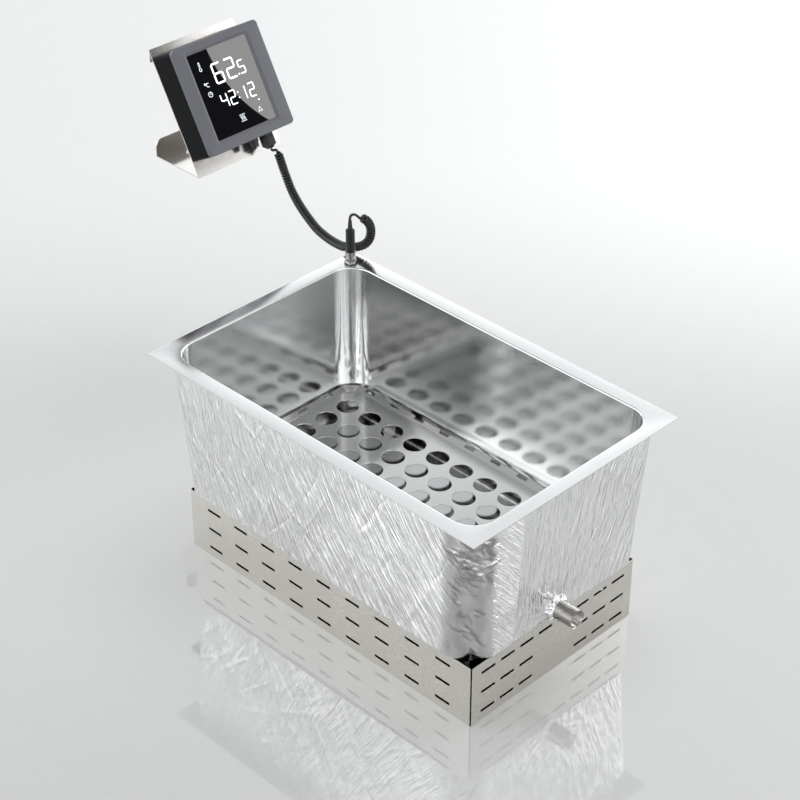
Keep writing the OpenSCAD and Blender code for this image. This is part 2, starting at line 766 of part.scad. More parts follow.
// What a rounded corner leaves of a square one, as a cutter through the sheet
module corner_cut(r) {
    translate([-wall_x - 1, 0, 0]) rotate([90, 0, 90]) linear_extrude(bracket_t + 2) difference() {
        square([r + 1, r + 1]);
        circle(r = r, $fn = 48);
    }
}
module wall_bracket() {
    hole_top_z = top_z - 11;
    hole_low_z = shelf_z + 15;
    color("lightgray")
    difference() {
        translate([0, bracket_y + bracket_w / 2, 0]) rotate([90, 0, 0])
            linear_extrude(bracket_w) polygon(bracket_outline);
        wall_holes(hole_top_z);
        wall_holes(hole_low_z);
        translate([0, bracket_y + bracket_w / 2 - bracket_corner, shelf_z + flange_up - bracket_corner])
            corner_cut(bracket_corner);
        mirror([0, 1, 0])
            translate([0, bracket_w / 2 - bracket_corner - bracket_y, shelf_z + flange_up - bracket_corner])
            corner_cut(bracket_corner);
        on_panel(panel_t + 10) at_corners(mount_in, mount_in) cylinder(r = 2.2, h = 20, $fn = 48);
    }
}
module bracket_screws() {
    color("silver")
    on_panel(panel_t + bracket_t + 2.9) at_corners(mount_in, mount_in) {
        difference() {
            cylinder(r = 3.6, h = 2.6, $fn = 48);
            translate([0, 0, -1]) hex(2.5, 2.4);
        }
        cylinder(r = 2, h = 8.5, $fn = 48);
    }
}

tank();
foil_insulation();
casing();
drain_pipe();
drain_collar();
false_bottom();
plate_feet();
heater_mat();
heater_leads();
insulation_board();
limiter();
temp_probe();
probe_clip();
mounting_studs();
base_screws();
power_board();
board_spacers();
relays();
power_supply();
heatsink();
terminal_block();
mains_gland();
mains_gland_nut();
signal_lead();
control_socket();
socket_nut();
socket_gasket();
coupling_ring();
plug_body();
plug_boot();
curly_cord();
cord_end_plug();
cord_end_gland();
wall_bracket();
bracket_screws();
threaded_inserts();
rear_case();
bezel();
window_glass();
case_gasket();
display_module();
touch_board();
control_board();
control_board_posts();
buzzer();
case_screws();
cable_gland();
cable_gland_nut();
cable_gland_seal();
gland_locknuts();
blank_gland();
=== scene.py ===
"""Looks of a drop-in sous vide bath with its touch controller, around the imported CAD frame.

All lengths are metres in the part's own frame: the origin is the centre of the bath's underside,
+X points to the drain, +Y to the side that the control socket is on, and +Z up.
"""

import json
import math

import bpy
import numpy as np
from mathutils import Matrix, Vector

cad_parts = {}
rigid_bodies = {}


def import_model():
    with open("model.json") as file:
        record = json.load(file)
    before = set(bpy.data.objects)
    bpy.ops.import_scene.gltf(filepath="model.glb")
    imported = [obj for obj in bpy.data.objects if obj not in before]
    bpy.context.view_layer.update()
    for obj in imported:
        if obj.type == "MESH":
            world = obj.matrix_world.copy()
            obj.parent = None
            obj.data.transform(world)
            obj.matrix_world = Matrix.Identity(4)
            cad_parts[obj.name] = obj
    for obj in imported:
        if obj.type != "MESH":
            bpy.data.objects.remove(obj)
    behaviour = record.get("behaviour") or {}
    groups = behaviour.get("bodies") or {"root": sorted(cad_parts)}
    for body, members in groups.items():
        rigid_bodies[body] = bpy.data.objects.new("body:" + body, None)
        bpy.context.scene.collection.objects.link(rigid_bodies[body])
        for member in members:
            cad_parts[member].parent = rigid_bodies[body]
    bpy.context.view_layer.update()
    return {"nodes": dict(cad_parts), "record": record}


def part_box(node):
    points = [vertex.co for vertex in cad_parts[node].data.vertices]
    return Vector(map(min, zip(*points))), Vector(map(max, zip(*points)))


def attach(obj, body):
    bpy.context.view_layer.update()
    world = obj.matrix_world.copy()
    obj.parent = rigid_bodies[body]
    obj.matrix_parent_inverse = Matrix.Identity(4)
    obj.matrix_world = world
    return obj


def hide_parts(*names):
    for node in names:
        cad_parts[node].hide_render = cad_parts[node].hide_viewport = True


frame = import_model()
parts = frame["nodes"]
MM = 0.001


# ---------------------------------------------------------------- mesh helpers


def make_mesh(name, verts, faces, sharp_angle=35):
    """A smooth-shaded mesh object whose edges over sharp_angle degrees stay sharp."""
    mesh = bpy.data.meshes.new(name)
    mesh.from_pydata([tuple(v) for v in verts], [], [tuple(f) for f in faces])
    mesh.validate()
    mesh.update()
    mesh.shade_smooth()
    mesh.set_sharp_from_angle(angle=math.radians(sharp_angle))
    obj = bpy.data.objects.new(name, mesh)
    bpy.context.scene.collection.objects.link(obj)
    return obj


def grid_faces(rows, cols, wrap_rows=False, wrap_cols=True):
    """Quads of a grid of rows x cols vertices, closed on itself in either direction."""
    r = np.arange(rows if wrap_rows else rows - 1)[:, None]
    c = np.arange(cols if wrap_cols else cols - 1)[None, :]
    r2, c2 = (r + 1) % rows, (c + 1) % cols
    quads = np.stack([r * cols + c, r * cols + c2, r2 * cols + c2, r2 * cols + c], axis=-1)
    return quads.reshape(-1, 4).tolist()


def loft(name, rings, wrap=False, sharp_angle=35):
    """Skins a list of rings with the same number of points, closed on itself or capped at both ends."""
    rows, cols = len(rings), len(rings[0])
    faces = grid_faces(rows, cols, wrap_rows=wrap)
    if not wrap:
        faces.append(list(range(cols))[::-1])
        faces.append(list(range((rows - 1) * cols, rows * cols)))
    return make_mesh(name, np.concatenate(rings), faces, sharp_angle)


def rounded_loop(half_x, half_y, radius, steps):
    """Points round a rectangle with round corners, as rows of x and y."""
    turns = np.linspace(0, math.pi / 2, steps + 1)
    loop = []
    for quarter, (sx, sy) in enumerate([(1, 1), (-1, 1), (-1, -1), (1, -1)]):
        a = turns + quarter * math.pi / 2
        loop.append(np.stack([sx * (half_x - radius) + radius * np.cos(a),
                              sy * (half_y - radius) + radius * np.sin(a)], axis=1))
    return np.concatenate(loop)


def lathe(name, profile, origin, axis="X", sides=96, sharp_angle=35):
    """Turns a closed outline of (along, radius) pairs about an axis through origin."""
    a = np.linspace(0, 2 * math.pi, sides, endpoint=False)
    rings = []
    for along, radius in profile:
        y, z = radius * np.cos(a), radius * np.sin(a)
        x = np.full_like(a, along)
        ring = np.stack([x, y, z] if axis == "X" else [y, z, x], axis=1)
        rings.append(ring + np.array(origin))
    return loft(name, rings, wrap=True, sharp_angle=sharp_angle)


def lattice_noise(x, y, seed):
    """Smooth noise from -1 to 1 over a unit lattice."""
    size = 256
    table = np.random.default_rng(seed).uniform(-1, 1, (size, size))
    xi, yi = np.floor(x).astype(int), np.floor(y).astype(int)
    fx, fy = x - xi, y - yi
    fx, fy = fx * fx * (3 - 2 * fx), fy * fy * (3 - 2 * fy)
    corner = lambda i, j: table[(xi + i) % size, (yi + j) % size]
    low = corner(0, 0) * (1 - fx) + corner(1, 0) * fx
    high = corner(0, 1) * (1 - fx) + corner(1, 1) * fx
    return low * (1 - fy) + high * fy


def smoothstep(x, low, high):
    t = np.clip((x - low) / (high - low), 0, 1)
    return t * t * (3 - 2 * t)


# ---------------------------------------------------------------- camera

CAMERA_AT = Vector((1.53796, -1.55741, 1.76273))
CAMERA_FORWARD = Vector((-0.5842, 0.5868, -0.5610)).normalized()
CAMERA_UP = Vector((-0.3956, 0.3976, 0.8280))
CAMERA_LENS = 96.73


def add_camera():
    right = CAMERA_FORWARD.cross(CAMERA_UP).normalized()
    up = right.cross(CAMERA_FORWARD)
    turn = Matrix((right, up, -CAMERA_FORWARD)).transposed().to_4x4()
    data = bpy.data.cameras.new("camera")
    data.lens = CAMERA_LENS
    data.sensor_width = 36
    camera = bpy.data.objects.new("camera", data)
    camera.matrix_world = Matrix.Translation(CAMERA_AT) @ turn
    bpy.context.scene.collection.objects.link(camera)
    bpy.context.scene.camera = camera


add_camera()


# ---------------------------------------------------------------- materials


def add_node(tree, kind, settings=None, **inputs):
    """A shader node with some of its properties and inputs set; a socket given as an input is linked."""
    node = tree.nodes.new(kind)
    for key, value in (settings or {}).items():
        setattr(node, key, value)
    for key, value in inputs.items():
        socket = node.inputs[key.replace("_", " ")]
        if isinstance(value, bpy.types.NodeSocket):
            tree.links.new(value, socket)
        else:
            socket.default_value = value
    return node


def new_material(name, **constants):
    """A material with a Principled shader, its constants set on the shader's own sockets."""
    material = bpy.data.materials.new(name)
    material.use_nodes = True
    tree = material.node_tree
    shader = tree.nodes["Principled BSDF"]
    for key, value in constants.items():
        shader.inputs[key.replace("_", " ")].default_value = value
    place = add_node(tree, "ShaderNodeTexCoord").outputs["Object"]
    return material, tree, shader, place


def stretched(tree, place, scale):
    """Coordinates scaled differently along each axis, for grain that runs one way."""
    mapping = add_node(tree, "ShaderNodeMapping", Vector=place)
    mapping.inputs["Scale"].default_value = scale
    return mapping.outputs["Vector"]


def noise(tree, where, scale, detail=4, roughness=0.5):
    made = add_node(tree, "ShaderNodeTexNoise", Vector=where, Scale=scale, Detail=detail, Roughness=roughness)
    return made.outputs["Fac"]


def ranged(tree, value, low, high, from_low=0.3, from_high=0.7):
    made = add_node(tree, "ShaderNodeMapRange", Value=value, From_Min=from_low, From_Max=from_high,
                    To_Min=low, To_Max=high)
    return made.outputs["Result"]


COLOUR_A, COLOUR_B, COLOUR_OUT = 6, 7, 2     # sockets of a Mix node that mixes colours


def blended(tree, factor, first, second):
    """Mixes two colours, of which the first may also be another node's output."""
    made = add_node(tree, "ShaderNodeMix", {"data_type": "RGBA"})
    tree.links.new(factor, made.inputs["Factor"])
    if isinstance(first, bpy.types.NodeSocket):
        tree.links.new(first, made.inputs[COLOUR_A])
    else:
        made.inputs[COLOUR_A].default_value = (*first, 1)
    made.inputs[COLOUR_B].default_value = (*second, 1)
    return made.outputs[COLOUR_OUT]


def calculated(tree, operation, *values, clamp=False):
    """A Math node's output, from numbers and other nodes' outputs."""
    made = add_node(tree, "ShaderNodeMath", {"operation": operation, "use_clamp": clamp})
    for value, socket in zip(values, made.inputs):
        if isinstance(value, bpy.types.NodeSocket):
            tree.links.new(value, socket)
        else:
            socket.default_value = value
    return made.outputs[0]


def bumped(tree, shader, *layers):
    """Chains bumps of (height, strength, distance) into the shader's normal."""
    normal = None
    for height, strength, distance in layers:
        bump = add_node(tree, "ShaderNodeBump", Height=height, Strength=strength, Distance=distance)
        if normal is not None:
            tree.links.new(normal, bump.inputs["Normal"])
        normal = bump.outputs["Normal"]
    tree.links.new(normal, shader.inputs["Normal"])


def shade(colour, factor):
    """The colour made lighter or darker."""
    return tuple(min(1, c * factor) for c in colour)


def metal(name, colour, rough, grain=(1, 1, 1), grain_scale=400, spread=0.06, bump=0.02, tone=0.06):
    """Metal whose grain runs along the axis with the smallest of the three grain numbers."""
    material, tree, shader, place = new_material(name, Metallic=1.0)
    fine = noise(tree, stretched(tree, place, grain), grain_scale, detail=3)
    cloud = noise(tree, place, 9, detail=3)
    mixed = calculated(tree, "ADD", ranged(tree, fine, 0, 0.5), ranged(tree, cloud, 0, 0.5))
    tree.links.new(ranged(tree, mixed, rough - spread, rough + spread, 0, 1), shader.inputs["Roughness"])
    tree.links.new(blended(tree, mixed, shade(colour, 1 - tone), shade(colour, 1 + tone)),
                   shader.inputs["Base Color"])
    bumped(tree, shader, (fine, bump, 0.0004))
    return material


def plastic(name, colour, rough, grain_scale=1500, bump=0.12, tone=0.12, spread=0.05, **constants):
    """Moulded plastic or rubber with a fine spark-eroded grain."""
    material, tree, shader, place = new_material(name, **constants)
    grain = noise(tree, place, grain_scale, detail=2)
    cloud = noise(tree, place, 25, detail=3)
    tree.links.new(ranged(tree, cloud, rough - spread, rough + spread), shader.inputs["Roughness"])
    tree.links.new(blended(tree, cloud, shade(colour, 1 - tone), shade(colour, 1 + tone)),
                   shader.inputs["Base Color"])
    bumped(tree, shader, (grain, bump, 0.0003))
    return material


# Within these half sizes the casing's sheet is painted near-black, as painted shade inside the casing
CASING_INSIDE = (252.3 * MM, 147.3 * MM)    # half sizes just short of the sheet's inside faces


def casing_material():
    """Brushed sheet, with painted shade: the faces that look into the casing are painted near-black."""
    material = metal("casing_steel", (0.76, 0.735, 0.685), 0.26, (0.12, 0.12, 1), 900, 0.04, 0.03, 0.05)
    tree = material.node_tree
    shader = next(node for node in tree.nodes if node.type == "BSDF_PRINCIPLED")
    place = add_node(tree, "ShaderNodeTexCoord").outputs["Object"]
    position = add_node(tree, "ShaderNodeSeparateXYZ", Vector=place).outputs
    within = [calculated(tree, "LESS_THAN", calculated(tree, "ABSOLUTE", position[axis]), half)
              for axis, half in zip("XY", CASING_INSIDE)]
    bare = shader.inputs["Base Color"].links[0].from_socket
    # Painted shade: near-black on the faces inside the casing, which show through its slots and corner gap
    painted_inside_shade = blended(tree, calculated(tree, "MULTIPLY", *within), bare, (0.006, 0.006, 0.006))
    tree.links.new(painted_inside_shade, shader.inputs["Base Color"])
    return material


def foil_material():
    """Bright foil with fine creases that follow the pull of the sheet. The mesh's lay attribute holds the place
    across the pull, the height, and how much painted shade darkens the foil, where the creases are calmer too."""
    material, tree, shader, place = new_material("foil", Metallic=1.0)
    lay = add_node(tree, "ShaderNodeAttribute", {"attribute_name": "lay"}).outputs["Vector"]
    painted_shade = add_node(tree, "ShaderNodeSeparateXYZ", Vector=lay).outputs["Z"]

    def ridges(scale, size, detail):
        waves = noise(tree, stretched(tree, lay, scale), size, detail)
        fold = calculated(tree, "ABSOLUTE", calculated(tree, "SUBTRACT", waves, 0.5))
        return calculated(tree, "MULTIPLY", fold, ranged(tree, painted_shade, 1, 0.15, 0, 0.7))

    facets = add_node(tree, "ShaderNodeTexVoronoi", {"feature": "F1"}, Scale=170,
                      Vector=stretched(tree, place, (1, 1, 0.5))).outputs["Distance"]
    cloud = noise(tree, place, 14, detail=4)
    tree.links.new(ranged(tree, cloud, 0.13, 0.2), shader.inputs["Roughness"])
    bright = blended(tree, cloud, (0.89, 0.89, 0.885), (0.95, 0.95, 0.95))
    patches = ranged(tree, noise(tree, stretched(tree, place, (1, 1, 0.4)), 55, detail=3), 0.6, 0.95, 0.4, 0.6)
    shade_amount = calculated(tree, "MULTIPLY", painted_shade, patches, clamp=True)
    # Painted shade: the foil turns grey where the lay's third channel and the noise patches are high, at the
    # front corner and its crumples
    tree.links.new(blended(tree, shade_amount, bright, (0.36, 0.36, 0.35)), shader.inputs["Base Color"])
    bumped(tree, shader, (ridges((1, 0.05, 0), 210, 2), 0.8, 0.006), (ridges((1, 0.2, 0), 90, 3), 0.6, 0.008),
           (facets, 0.22, 0.001))
    return material


def window_material():
    """Back-printed black glass with the faintest wipe marks."""
    material, tree, shader, place = new_material("window", IOR=2.2)
    wipes = noise(tree, stretched(tree, place, (1, 6, 1)), 60, detail=4)
    tree.links.new(ranged(tree, wipes, 0.003, 0.012), shader.inputs["Roughness"])
    tree.links.new(blended(tree, wipes, (0.002, 0.0022, 0.003), (0.004, 0.0042, 0.005)),
                   shader.inputs["Base Color"])
    return material


def board_material():
    """Solder-masked laminate with the weave just showing."""
    material, tree, shader, place = new_material("board", Roughness=0.35)
    weave = add_node(tree, "ShaderNodeTexWave", Vector=place, Scale=420, Distortion=0.6).outputs["Fac"]
    tracks = noise(tree, place, 160, detail=1)
    tree.links.new(blended(tree, ranged(tree, tracks, 0, 1, 0.47, 0.53), (0.02, 0.12, 0.05), (0.04, 0.2, 0.08)),
                   shader.inputs["Base Color"])
    bumped(tree, shader, (weave, 0.05, 0.0002))
    return material


def fibre_material():
    """Pressed mineral fibre, painted near-black as painted shade."""
    material, tree, shader, place = new_material("mineral_board", Roughness=0.92)
    strands = noise(tree, stretched(tree, place, (1, 3, 8)), 260, detail=6, roughness=0.7)
    # Painted shade: the board's colour is near-black to stand for shade
    tree.links.new(blended(tree, strands, (0.012, 0.012, 0.011), (0.035, 0.034, 0.032)),
                   shader.inputs["Base Color"])
    bumped(tree, shader, (strands, 0.6, 0.001))
    return material


def light_material():
    """The display's lit segments."""
    material, tree, shader, place = new_material("display_light", Roughness=0.4, Emission_Strength=1.15)
    cells = noise(tree, place, 500, detail=2)
    tree.links.new(blended(tree, cells, (0.86, 0.95, 1.0), (1.0, 1.0, 1.0)), shader.inputs["Emission Color"])
    tree.links.new(blended(tree, cells, (0.7, 0.75, 0.8), (0.8, 0.82, 0.85)), shader.inputs["Base Color"])
    return material


MATERIALS = {
    "steel_tank": metal("steel_tank", (0.74, 0.745, 0.745), 0.13, (1, 1, 0.25), 500, 0.02, 0.004, 0.03),
    "foil": foil_material(),
    "casing_steel": casing_material(),
    "bright_steel": metal("bright_steel", (0.40, 0.385, 0.365), 0.12, (0.3, 1, 1), 900, 0.04, 0.03, 0.04),
    "plate_steel": metal("plate_steel", (0.80, 0.80, 0.79), 0.15, (0.15, 1, 1), 700, 0.04, 0.03, 0.03),
    "bracket_steel": metal("bracket_steel", (0.60, 0.585, 0.565), 0.13, (1, 0.12, 1), 900, 0.05, 0.04, 0.04),
    "zinc_steel": metal("zinc_steel", (0.6, 0.6, 0.58), 0.32, (1, 1, 1), 700, 0.08, 0.08, 0.08),
    "heater": plastic("heater", (0.6, 0.2, 0.08), 0.6, 700, 0.3),
    "red_lead": plastic("red_lead", (0.5, 0.04, 0.03), 0.45, 900, 0.1),
    "mineral_board": fibre_material(),
    "ceramic": plastic("ceramic", (0.82, 0.78, 0.7), 0.25, 500, 0.05, 0.05),
    "board": board_material(),
    "relay_blue": plastic("relay_blue", (0.05, 0.16, 0.45), 0.3),
    "amber_plastic": plastic("amber_plastic", (0.72, 0.5, 0.08), 0.3, 600, 0.05),
    "heatsink_alu": metal("heatsink_alu", (0.68, 0.68, 0.69), 0.38, (1, 0.1, 1), 900, 0.08, 0.1, 0.06),
    "green_plastic": plastic("green_plastic", (0.08, 0.34, 0.16), 0.45),
    "black_plastic": plastic("black_plastic", (0.011, 0.012, 0.013), 0.36, 1300, 0.1, Specular_IOR_Level=0.35),
    "black_rubber": plastic("black_rubber", (0.015, 0.015, 0.016), 0.6, 900, 0.2),
    "cord_black": plastic("cord_black", (0.006, 0.0075, 0.009), 0.26, 1100, 0.05, Specular_IOR_Level=0.5),
    "case_plastic": plastic("case_plastic", (0.006, 0.0065, 0.007), 0.45, 1500, 0.16, Specular_IOR_Level=0.05),
    "bezel_plastic": plastic("bezel_plastic", (0.112, 0.114, 0.128), 0.36, 1400, 0.1, 0.06,
                             Specular_IOR_Level=0.35),
    "window": window_material(),
    "brass": metal("brass", (0.78, 0.58, 0.26), 0.25, (1, 1, 0.2), 800, 0.06, 0.08, 0.08),
}


def finish_piece(obj, body, slot_name, *stands_for):
    """Gives a new piece the material of the named slot and its body, and hides the CAD nodes that it stands for.
    """
    obj.data.materials.append(MATERIALS[slot_name])
    if stands_for:
        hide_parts(*stands_for)
    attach(obj, body)
    return obj


def paint_cad_nodes():
    """Gives each CAD node the material of its slot."""
    for entry in frame["record"]["subparts"]:
        node = parts[entry["node"]]
        node.data.materials.clear()
        node.data.materials.append(MATERIALS[entry["material_slot"]])


SOFT_EDGES = {
    "casing": 0.3, "false_bottom": 0.35, "wall_bracket": 0.4, "rear_case": 0.9, "plug_body": 0.4,
    "coupling_ring": 0.15, "socket_nut": 0.3, "control_socket": 0.2, "cable_gland": 0.4,
    "cable_gland_nut": 0.5, "blank_gland": 0.5, "mains_gland": 0.4, "mains_gland_nut": 0.5,
    "bracket_screws": 0.3, "base_screws": 0.3, "case_screws": 0.3, "heatsink": 0.2, "relays": 0.6,
    "power_supply": 0.8, "terminal_block": 0.3, "plate_feet": 0.3,
}


def soften_edges():
    """Rounds the sharp edges of CAD nodes that show, by modifiers, with their meshes left alone."""
    for name, width in SOFT_EDGES.items():
        node = parts[name]
        normals = node.data.attributes.get("custom_normal")
        if normals is not None:
            node.data.attributes.remove(normals)
        node.data.shade_smooth()
        weld = node.modifiers.new("weld", "WELD")
        weld.merge_threshold = 0.004 * MM
        bevel = node.modifiers.new("round", "BEVEL")
        bevel.width = width * MM
        bevel.segments = 2
        bevel.limit_method = "ANGLE"
        bevel.angle_limit = math.radians(35)
        even = node.modifiers.new("normals", "WEIGHTED_NORMAL")
        even.weight = 100


# ---------------------------------------------------------------- cord

WIRE_D = 3.7 * MM
CURL_R = 4.65 * MM          # radius of the helix that the wire's centre follows
CURL_TURNS = 76
POINTS_PER_TURN = 16
# The route's points are those of the CAD cord, in millimetres
GLAND_END = [(-462, 198.5, 383.4), (-459.5, 200, 381.2), (-456.6, 203, 382), (-455.6, 203.8, 380.9),
             (-455, 204, 379.5)]
CURL_ROUTE = [
    (-455, 204, 379.5), (-452, 205, 372), (-449, 206.7, 360), (-446, 207.7, 350.5), (-441, 208, 341),
    (-434, 207, 331), (-424, 205, 322), (-409, 201.5, 313.5), (-390, 197, 306), (-367, 192, 299),
    (-342, 187, 297), (-318, 182, 299), (-297, 177, 304), (-283, 175, 310), (-272, 178, 313),
    (-263, 184, 318), (-257, 188, 328), (-255, 188.5, 341), (-255, 185.5, 352), (-256, 179.5, 360.5),
    (-258, 172.5, 364.5),
]
PLUG_END = [(-258, 172.5, 364.5), (-258.4, 171.1, 365.3), (-259.3, 168.3, 368.8), (-260, 164.5, 372.4),
            (-261, 159.5, 373.5), (-261, 156, 370), (-261, 156, 360)]


def smooth_route(points, steps):
    """Catmull-Rom points along a route given in millimetres, steps to each of its spans."""
    p = np.array(points, float) * MM
    p = np.vstack([2 * p[0] - p[1], p, 2 * p[-1] - p[-2]])
    t = np.linspace(0, 1, steps, endpoint=False)[:, None]
    spans = []
    for a, b, c, d in zip(p, p[1:], p[2:], p[3:]):
        spans.append(0.5 * (2 * b + (c - a) * t + (2 * a - 5 * b + 4 * c - d) * t**2
                            + (3 * b - a - 3 * c + d) * t**3))
    return np.vstack([*spans, p[-2]])


def even_points(points, count):
    """The same line with count points at equal distances along it."""
    length = np.concatenate([[0], np.cumsum(np.linalg.norm(np.diff(points, axis=0), axis=1))])
    at = np.linspace(0, length[-1], count)
    return np.stack([np.interp(at, length, points[:, k]) for k in range(3)], axis=1)


def coil_points():
    """The helix round the route, in a frame carried along it without twist, with its ends drawn in."""
    count = CURL_TURNS * POINTS_PER_TURN
    line = even_points(smooth_route(CURL_ROUTE, 12), count)
    ahead = np.gradient(line, axis=0)
    ahead /= np.linalg.norm(ahead, axis=1)[:, None]
    side = np.cross(ahead[0], [0, 0, 1.0])
    points = []
    for i in range(count):
        side = side - ahead[i] * side.dot(ahead[i])
        side /= np.linalg.norm(side)
        angle = 2 * math.pi * i / POINTS_PER_TURN
        ends = min(i, count - 1 - i) / POINTS_PER_TURN
        radius = CURL_R * smoothstep(ends, 0, 1.2)
        points.append(line[i] + radius * (math.cos(angle) * side
                                          + math.sin(angle) * np.cross(ahead[i], side)))
    return np.array(points)


def add_cord():
    """The whole wire as one open spline: straight end, curls, straight end into the plug's boot."""
    wire = np.vstack([smooth_route(GLAND_END, 6)[:-1], coil_points(), smooth_route(PLUG_END, 6)[1:]])
    curve = bpy.data.curves.new("curly_wire", "CURVE")
    curve.dimensions = "3D"
    curve.bevel_depth = WIRE_D / 2
    curve.bevel_resolution = 3
    curve.use_fill_caps = True
    spline = curve.splines.new("POLY")
    spline.points.add(len(wire) - 1)
    spline.points.foreach_set("co", np.hstack([wire, np.ones((len(wire), 1))]).ravel())
    spline.use_smooth = True
    obj = bpy.data.objects.new("curly_wire", curve)
    bpy.context.scene.collection.objects.link(obj)
    finish_piece(obj, "root", "cord_black", "curly_cord", "cord_end_plug", "cord_end_gland")


# ---------------------------------------------------------------- tank

LIP_R = 2 * MM              # radius that joins the flange to the walls
TANK_T = 1 * MM
TANK_HALF = (260.5 * MM, 157 * MM)     # inside half sizes at the top of the walls
TANK_DRAFT = 11 * MM
TANK_CORNER = 34 * MM
TANK_FILLET = 27 * MM
TANK_FLOOR = 100 * MM
CORNER_STEPS = 40
DRAW_MARKS = 0.015 * MM     # depth of the drawing marks in the upright corners
PIPE_R = 12.5 * MM          # outside of the drain pipe
DRAIN_HOLE_X = 250 * MM     # middle of the cutter that lets the pipe through the end wall
DRAIN_HOLE_R = 12.6 * MM
DRAIN_HOLE_DEPTH = 30 * MM  # the cutter's reach to each side
tank_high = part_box("tank")[1]
TANK_TOP = tank_high.z - LIP_R


def lean_in(z):
    """How far the tank's wall stands inside its top line at a height."""
    return TANK_DRAFT * (TANK_TOP - z) / (TANK_TOP - TANK_FLOOR)


def tank_ring(offset, z, marks=0.0):
    """A ring set out by offset from the tank's inside wall, with drawing marks in its corners."""
    loop = rounded_loop(TANK_HALF[0] - lean_in(z) + offset, TANK_HALF[1] - lean_in(z) + offset,
                        TANK_CORNER + offset, CORNER_STEPS)
    around = np.arange(len(loop)) % (CORNER_STEPS + 1) / CORNER_STEPS
    corner = np.arange(len(loop)) // (CORNER_STEPS + 1)
    middle = np.sin(math.pi * around)
    wave = lattice_noise(around * 7 + corner * 11, np.full(len(loop), z / 0.12), 5)
    outward = around * math.pi / 2 + corner * math.pi / 2
    shift = (marks * middle * wave)[:, None]
    loop = loop + shift * np.stack([np.cos(outward), np.sin(outward)], axis=1)
    return np.column_stack([loop, np.full(len(loop), z)])


def fillet_ring(extra, angle):
    """A ring of the curve from the floor to the wall; extra is its distance outside the inner face."""
    return tank_ring((TANK_FILLET + extra) * math.sin(angle) - TANK_FILLET,
                     TANK_FLOOR + TANK_FILLET - (TANK_FILLET + extra) * math.cos(angle))


def lip_ring(radius, angle):
    """A ring of the curve from the wall to the flange."""
    out = LIP_R - radius * math.cos(angle)
    loop = rounded_loop(TANK_HALF[0] + out, TANK_HALF[1] + out, TANK_CORNER + out, CORNER_STEPS)
    return np.column_stack([loop, np.full(len(loop), TANK_TOP + radius * math.sin(angle))])


def add_tank():
    """The drawn tank in one sheet: floor, fillet, leaning walls, rolled lip and flat flange."""
    quarter = np.linspace(0, math.pi / 2, 13)
    wall = np.linspace(TANK_FLOOR + TANK_FILLET, TANK_TOP, 13)[1:-1]
    flange = [np.column_stack([rounded_loop(tank_high.x, tank_high.y, 0.5 * MM, CORNER_STEPS),
                               np.full(4 * (CORNER_STEPS + 1), z)])
              for z in (tank_high.z, tank_high.z - TANK_T)]
    rings = [fillet_ring(0, a) for a in quarter]
    rings += [tank_ring(0, z, DRAW_MARKS) for z in wall]
    rings += [lip_ring(LIP_R, a) for a in quarter] + flange
    rings += [lip_ring(LIP_R - TANK_T, a) for a in quarter[::-1]]
    rings += [fillet_ring(TANK_T, a) for a in quarter[::-1]]
    tank = loft("tank_sheet", rings)
    cut_round_hole(tank, (DRAIN_HOLE_X, 0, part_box("drain_pipe")[0].z + PIPE_R), DRAIN_HOLE_R, DRAIN_HOLE_DEPTH)
    finish_piece(tank, "root", "steel_tank", "tank")


def cut_round_hole(obj, centre, radius, depth):
    """Cuts a round hole along X through obj for good."""
    cutter = lathe("cutter", [(-depth, 0.0001 * MM), (-depth, radius), (depth, radius), (depth, 0.0001 * MM)],
                   centre, sides=64)
    boolean = obj.modifiers.new("hole", "BOOLEAN")
    boolean.operation = "DIFFERENCE"
    boolean.object = cutter
    graph = bpy.context.evaluated_depsgraph_get()
    cut = bpy.data.meshes.new_from_object(obj.evaluated_get(graph))
    obj.modifiers.clear()
    obj.data = cut
    obj.data.name = obj.name
    obj.data.set_sharp_from_angle(angle=math.radians(35))
    bpy.data.objects.remove(cutter)


# ---------------------------------------------------------------- foil wrap

FOIL_STEP = (1.2 * MM, 1.8 * MM)        # spacing of the wrap's mesh, round it and up it
FOIL_OFFSET = 5.9 * MM      # outside of the blanket from the tank's inside wall
FOIL_RADII = (22 * MM, 40 * MM, 22 * MM, 46 * MM)     # right, back, left and front upright corners
FOIL_T = 2.2 * MM           # from the inside of the modelled skin to the outside of the wrap
FOLD_DEPTH = 1.7 * MM       # deepest fold
FLAP_T = 0.9 * MM           # how far the overlapped end stands out
FOIL_SETBACK = 0.2 * MM     # the smooth wrap's distance inside the blanket's outside
FOIL_SEAM_Y = -92 * MM      # where the sheet's outer end stops, on the drain's side
FOIL_OVERLAP = 14 * MM
FRONT_TUCK = 3 * MM         # how much the front corner's radius grows at the lower edge
TUCK_TOP = 130 * MM         # where that starts
TUCK_DROP = 42 * MM         # how far below it is complete


def radii_at(z):
    """Radii of the wrap's corners, of which the front one tucks in towards the lower edge."""
    tuck = FRONT_TUCK * (1 - float(smoothstep(z, TUCK_TOP - TUCK_DROP, TUCK_TOP)))
    return (*FOIL_RADII[:3], FOIL_RADII[3] + tuck)


